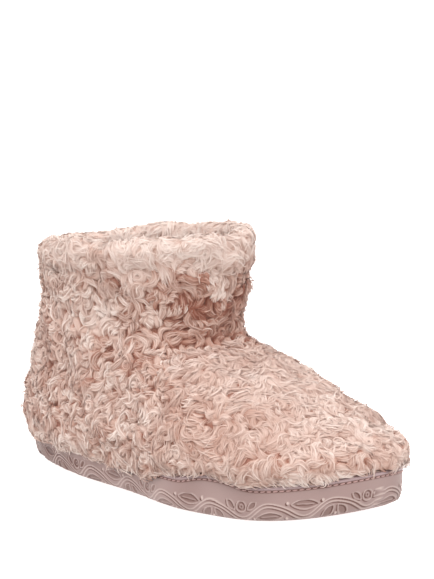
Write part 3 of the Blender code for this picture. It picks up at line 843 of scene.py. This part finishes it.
def near(t, centre, period):
    return (t - centre + 0.5 * period) % period - 0.5 * period


def vine(t, h):
    """Two thin ridges that run along a wavy line."""
    w = TAU * t / WAVE_LEN
    mid = 5.9 + 3.5 * np.sin(w) + 0.5 * np.sin(2 * w + 0.8)
    slope = (3.5 * np.cos(w) + 1.0 * np.cos(2 * w + 0.8)) * TAU / WAVE_LEN
    d = np.abs(h - mid) / np.sqrt(1 + slope ** 2)
    return np.exp(-((d - 0.85) / 0.36) ** 2), d


def leaf(t, h, ct, ch, half_long, half_wide, tilt, period):
    """Inside share of an almond, and its distance from the edge in mm."""
    dt, dh = near(t, ct, period), h - ch
    a = dt * math.cos(tilt) + dh * math.sin(tilt)
    b = -dt * math.sin(tilt) + dh * math.cos(tilt)
    reach = np.clip(1 - (a / half_long) ** 2, 0, 1)
    edge_ = half_wide * reach - np.abs(b)
    edge_ = np.where(np.abs(a) > half_long, -(np.abs(a) - half_long) - np.abs(b), edge_)
    return edge_, a, b


def disc(t, h, ct, ch, radius, period):
    return radius - np.hypot(near(t, ct, period), h - ch)


def ornament(t, h):
    """Height of the relief in mm, its raised lines and its recesses, over run t and height h."""
    ridge, d = vine(t, h)
    period = 2 * WAVE_LEN
    crest, dip = WAVE_LEN * 0.25, WAVE_LEN * 0.75
    recess = np.zeros_like(ridge)
    lines = ridge.copy()
    for kind_, ct, ch, size, tilt in (("leaf", crest - 1.0, 2.9, (7.2, 2.2), 0.05), ("leaf", dip + 1.0, 8.7, (7.0, 2.3), -0.06),
                                      ("leaf", crest + WAVE_LEN - 4.2, 3.1, (3.9, 1.9), 0.85),
                                      ("leaf", crest + WAVE_LEN + 3.6, 3.1, (3.9, 1.9), -0.85),
                                      ("disc", dip + WAVE_LEN, 8.4, (2.5, 0), 0.0),
                                      ("leaf", dip + WAVE_LEN - 6.2, 9.0, (3.0, 1.3), -0.75),
                                      ("leaf", dip + WAVE_LEN + 6.2, 9.0, (3.0, 1.3), 0.75)):
        if kind_ == "leaf":
            inside, a, b = leaf(t, h, ct, ch, size[0], size[1], tilt, period)
            rib = np.exp(-(b / 0.30) ** 2) * ease((size[0] * 0.72 - np.abs(a)) / 1.2) if size[0] > 5 else 0.0
        else:
            inside = disc(t, h, ct, ch, size[0], period)
            rib = np.exp(-((inside - 1.55) / 0.32) ** 2)
        free = ease((d - 1.7) / 0.4)
        recess = np.maximum(recess, ease(inside / 0.45) * free)
        lines = np.maximum(lines, np.exp(-((inside + 0.30) / 0.30) ** 2) * 0.85 * free)
        lines = np.maximum(lines, rib * 0.7 * ease(inside / 0.5) * free)
    for ct, ch in ((crest - 9.4, 1.9), (crest + 8.6, 1.9), (dip - 8.2, 9.9), (dip + 10.0, 9.9), (crest + WAVE_LEN, 2.0)):
        lines = np.maximum(lines, ease((disc(t, h, ct, ch, 0.95, period)) / 0.35))
    fade = ease((RELIEF_TOP - h) / 0.5)
    return lines * fade, recess * fade


TT, HH = np.meshgrid(T_RUN, wall_h)
lines_, recess_ = ornament(TT, HH)
# the relief shifted along and up, read for the painted shadow beside each raised line
shade_, _ = ornament(TT + 0.62, HH + 0.42)
foot = ease((HH - 0.3) / 2.0)
stitch_dip = np.exp(-((HH - STITCH_AT) / 0.50) ** 2)
lip_share = ease((HH - STITCH_AT - 0.25) / 0.5)
lip_bulge = 0.30 * np.exp(-((HH - 17.7) / 0.8) ** 2)
off = foot * SKIN + foot * (0.34 * lines_ - 0.36 * recess_) - 0.40 * stitch_dip + lip_bulge
off[-1] = -0.35
off[-2] = 0.10
off[0] = -0.25
skin_wall = wall + wall_n * off[..., None]
heel_shade = 1 - ease((CENTRE_S - wall[..., 1] - 30.0) / 90.0)
# painted light and shade: raised lines are painted lighter as highlights, with a painted shadow line beside each;
# recesses and the stitch groove are painted darker as shade; at the heel, in the shade of the overhanging pile, all of
# it is darker
wall_tone = 0.50 + 0.34 * lines_ - (0.52 + 0.70 * heel_shade) * np.clip(shade_ - lines_, 0, 1) - (0.11 + 0.12 * heel_shade) * recess_ - 0.46 * stitch_dip
# painted shadow: darker again beside the raised lines at the heel
wall_tone -= 0.30 * heel_shade * np.clip(np.roll(lines_, 3, 1) + np.roll(lines_, -3, 1) - 2 * lines_, 0, 1)
wall_tone += 0.02 * field(wall, 20.0, 51)
# painted shade: darker along the bottom edge and towards the heel
wall_tone -= 0.06 * (1 - foot) + 0.15 * heel_shade


def rubber_material(name, toned):
    m, nt, bs = new_material(name)
    coords = nt.nodes.new("ShaderNodeTexCoord")
    grain = nt.nodes.new("ShaderNodeTexNoise")
    grain.inputs["Scale"].default_value = 1400.0
    grain.inputs["Detail"].default_value = 2.0
    nt.links.new(coords.outputs["Object"], grain.inputs["Vector"])
    b = nt.nodes.new("ShaderNodeBump")
    b.inputs["Strength"].default_value = 0.25
    b.inputs["Distance"].default_value = 0.0002
    nt.links.new(grain.outputs["Fac"], b.inputs["Height"])
    nt.links.new(b.outputs["Normal"], bs.inputs["Normal"])
    bs.inputs["Roughness"].default_value = 0.50
    bs.inputs["Specular IOR Level"].default_value = 0.38
    if not toned:
        bs.inputs["Base Color"].default_value = (0.348, 0.242, 0.227, 1)
        return m
    tone = nt.nodes.new("ShaderNodeAttribute")
    tone.attribute_name = "tone"
    ramp = ramp_from(nt, tone.outputs["Fac"], ((0.0, (0.070, 0.022, 0.016)), (0.25, (0.150, 0.072, 0.057)),
                                               (0.40, (0.262, 0.168, 0.150)), (0.50, (0.350, 0.242, 0.227)),
                                               (0.70, (0.480, 0.362, 0.336)), (0.88, (0.660, 0.530, 0.490))))
    lip = nt.nodes.new("ShaderNodeAttribute")
    lip.attribute_name = "lip"
    mix = nt.nodes.new("ShaderNodeMix")
    mix.data_type = "RGBA"
    nt.links.new(lip.outputs["Fac"], mix.inputs["Factor"])
    nt.links.new(ramp.outputs["Color"], mix.inputs[6])
    mix.inputs[7].default_value = (0.450, 0.332, 0.342, 1)
    nt.links.new(mix.outputs[2], bs.inputs["Base Color"])
    return m


rubber_wall = rubber_material("rubber_wall", True)
rubber_plain = rubber_material("rubber_plain", False)
wall_ob = mesh_piece("outsole_wall", skin_wall.reshape(-1, 3), quads=grid_quads(*skin_wall.shape[:2]), material=rubber_wall,
                     tone=np.clip(wall_tone, 0, 1).ravel(), extra={"lip": np.clip(lip_share, 0, 1).ravel()})
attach(wall_ob, "root")
bpy.data.objects["outsole"].data.materials.clear()
bpy.data.objects["outsole"].data.materials.append(rubber_plain)

# stitches in the groove
STITCHES = int(round(ROUND / 3.5))
row = int(np.argmin(np.abs(wall_h - STITCH_AT)))
centre_line = wall[row] + wall_n[row] * (SKIN - 0.22)
centre_line[:, 2] += STITCH_AT - wall_h[row]
t_ext = np.concatenate([T_RUN, [ROUND]])
line_ext = np.concatenate([centre_line, centre_line[:1]])
norm_ext = np.concatenate([wall_n[row], wall_n[row][:1]])
rngs = np.random.default_rng(12)
caps_v, caps_f = [], []
prof_a = np.array([-1.0, -0.86, -0.45, 0.45, 0.86, 1.0])
prof_r = np.array([0.12, 0.72, 1.0, 1.0, 0.72, 0.12])
for k in range(STITCHES):
    t0 = (k + 0.5) * ROUND / STITCHES
    t = t0 + prof_a * 1.32
    c = np.stack([np.interp(t, t_ext, line_ext[:, a], period=ROUND) for a in range(3)], -1)
    n_ = unit(np.array([np.interp(t0, t_ext, norm_ext[:, a]) for a in range(3)]))
    along_ = unit(c[-1] - c[0])
    up_ = unit(np.cross(n_, along_))
    c = c + n_ * (0.22 * (1 - prof_a ** 2))[:, None] + up_ * (0.12 * prof_a * rngs.normal(0.6, 0.4))[:, None]
    a6 = np.arange(6) * TAU / 6
    ringp = c[:, None] + 0.40 * prof_r[:, None, None] * (n_ * np.cos(a6)[None, :, None] + up_ * np.sin(a6)[None, :, None])
    base = len(caps_v) * 36
    caps_v.append(ringp.reshape(-1, 3))
    caps_f.append(grid_quads(6, 6) + base)
stitches = mesh_piece("sole_stitches", np.concatenate(caps_v), quads=np.concatenate(caps_f), material=None)
thread, nt, bs = new_material("thread")
bs.inputs["Base Color"].default_value = (0.50, 0.315, 0.295, 1)
bs.inputs["Roughness"].default_value = 0.7
stitches.data.materials.append(thread)
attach(stitches, "root")

# ---------------------------------------------------------------------------
# footbed: a soft, slightly lumpy top on the insole
# ---------------------------------------------------------------------------
BED_RING = around(200)
BED_ACROSS = 34
bed_loops = []
for rise, inset in ((0.0, GAP + 0.9), (0.5, GAP), (2.2, GAP - 0.1), (FOOTBED - 0.9, GAP), (FOOTBED - 0.1, GAP + 1.0)):
    bx, bs_s = outline(smooth_rows(INNER_ROWS, [16.0])[0], inset, BED_RING)
    bed_loops.append(place(bx, bs_s, cup_floor(bs_s) + GAP + rise))
bed_side = np.stack(bed_loops)
half_ring = len(bx) // 2
share_ = np.linspace(0, 1, BED_ACROSS + 2)
i_ = np.arange(1, half_ring)
j_ = len(bx) - i_


def bed_patch(rise, sag):
    px = bx[i_][:, None] * (1 - share_) + bx[j_][:, None] * share_
    ps = bs_s[i_][:, None] * (1 - share_) + bs_s[j_][:, None] * share_
    pts = place(px, ps, cup_floor(ps) + GAP + rise)
    inner_part = np.sin(np.pi * share_)[None, :] ** 0.5
    pts[..., 2] += sag * inner_part * (0.45 * field(pts, 6.0, 91) + 0.30 * field(pts, 3.0, 92) + 0.3)
    return pts


def patch_faces(rows, cols, start):
    r, c = np.arange(rows - 1)[:, None], np.arange(cols - 1)[None, :]
    a = start + r * cols + c
    return np.stack([a, a + 1, a + cols + 1, a + cols], -1).reshape(-1, 4)


top_patch, low_patch = bed_patch(FOOTBED - 0.1, 1.0), bed_patch(0.0, 0.0)
side_flat = bed_side.reshape(-1, 3)
f_side = grid_quads(*bed_side.shape[:2])
f_top = patch_faces(*top_patch.shape[:2], len(side_flat))[:, ::-1]
f_low = patch_faces(*low_patch.shape[:2], len(side_flat) + top_patch.shape[0] * top_patch.shape[1])
bed_all = np.concatenate([side_flat, top_patch.reshape(-1, 3), low_patch.reshape(-1, 3)])
bed_tone = np.concatenate([np.full(len(side_flat), 0.45), (0.52 + 0.07 * field(top_patch, 5.0, 93)).ravel(),
                           np.full(low_patch.shape[0] * low_patch.shape[1], 0.4)])
bed_ob = mesh_piece("footbed_pile", bed_all, quads=np.concatenate([f_side, f_top, f_low]), material=bed_mat,
                    tone=np.clip(bed_tone, 0, 1))
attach(bed_ob, "root")
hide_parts("insole")

# ---------------------------------------------------------------------------
# floor, light, camera
# ---------------------------------------------------------------------------
floor_me = bpy.data.meshes.new("floor")
floor_me.from_pydata([(-6, -6, 0), (6, -6, 0), (6, 6, 0), (-6, 6, 0)], [], [(0, 1, 2, 3)])
floor = bpy.data.objects.new("floor", floor_me)
bpy.context.collection.objects.link(floor)
fm, fnt, fbs = new_material("floor")
fbs.inputs["Base Color"].default_value = (0.94, 0.94, 0.94, 1)
fbs.inputs["Roughness"].default_value = 0.9
fbs.inputs["Specular IOR Level"].default_value = 0.1
fbs.inputs["Emission Color"].default_value = (1, 1, 1, 1)
fbs.inputs["Emission Strength"].default_value = 0.80
floor_me.materials.append(fm)
floor.visible_diffuse = False                 # the white floor isn't a lamp: the shoe is lit evenly from all round

world = bpy.data.worlds.new("studio")
bpy.context.scene.world = world
world.use_nodes = True
world_nt = world.node_tree
white = world_nt.nodes.new("ShaderNodeBackground")             # the camera sees plain white, the shoe a soft warm grey
white.inputs["Color"].default_value = (1, 1, 1, 1)
seen_by = world_nt.nodes.new("ShaderNodeLightPath")
either = world_nt.nodes.new("ShaderNodeMixShader")
world_nt.links.new(seen_by.outputs["Is Camera Ray"], either.inputs[0])
world_nt.links.new(world_nt.nodes["Background"].outputs[0], either.inputs[1])
world_nt.links.new(white.outputs[0], either.inputs[2])
world_nt.links.new(either.outputs[0], world_nt.nodes["World Output"].inputs[0])
world.node_tree.nodes["Background"].inputs["Color"].default_value = (1.0, 0.955, 0.93, 1)
world.node_tree.nodes["Background"].inputs["Strength"].default_value = 0.88


def sun(name, towards, strength, angle, colour=(1, 1, 1)):
    """A soft sun; towards is the direction from the shoe to the light."""
    data = bpy.data.lights.new(name, "SUN")
    data.energy = strength
    data.angle = math.radians(angle)
    data.color = colour
    ob = bpy.data.objects.new(name, data)
    bpy.context.collection.objects.link(ob)
    ob.rotation_euler = (-Vector(towards)).to_track_quat("-Z", "Y").to_euler()
    return ob


sun("key", (-0.62, -0.15, 0.80), 1.45, 50)
sun("front", (0.05, -0.80, 0.70), 0.55, 70)
sun("side", (0.85, -0.20, 0.60), 0.50, 70)

AZ, EL, DIST, F_PX, RIGHT_OFF, UP_OFF = -40.57, 9.8, 1.6, 2933.4, 0.008893, 0.031772
a, e = math.radians(AZ), math.radians(EL)
back = Vector((math.sin(a) * math.cos(e), -math.cos(a) * math.cos(e), math.sin(e)))
fwd = -back
right = fwd.cross(Vector((0, 0, 1))).normalized()
up = right.cross(fwd)
target = Vector((0.00012, -0.0036, 0.075)) + right * RIGHT_OFF + up * UP_OFF
cam_data = bpy.data.cameras.new("camera")
cam_data.sensor_width = 36.0
cam_data.lens = F_PX * 36.0 / 579.0
cam_data.clip_start = 0.05
cam_data.clip_end = 50.0
cam = bpy.data.objects.new("camera", cam_data)
bpy.context.collection.objects.link(cam)
m = Matrix((right, up, back)).transposed().to_4x4()
m.translation = target + back * DIST
cam.matrix_world = m
bpy.context.scene.camera = cam
bpy.context.scene.view_settings.view_transform = "Standard"
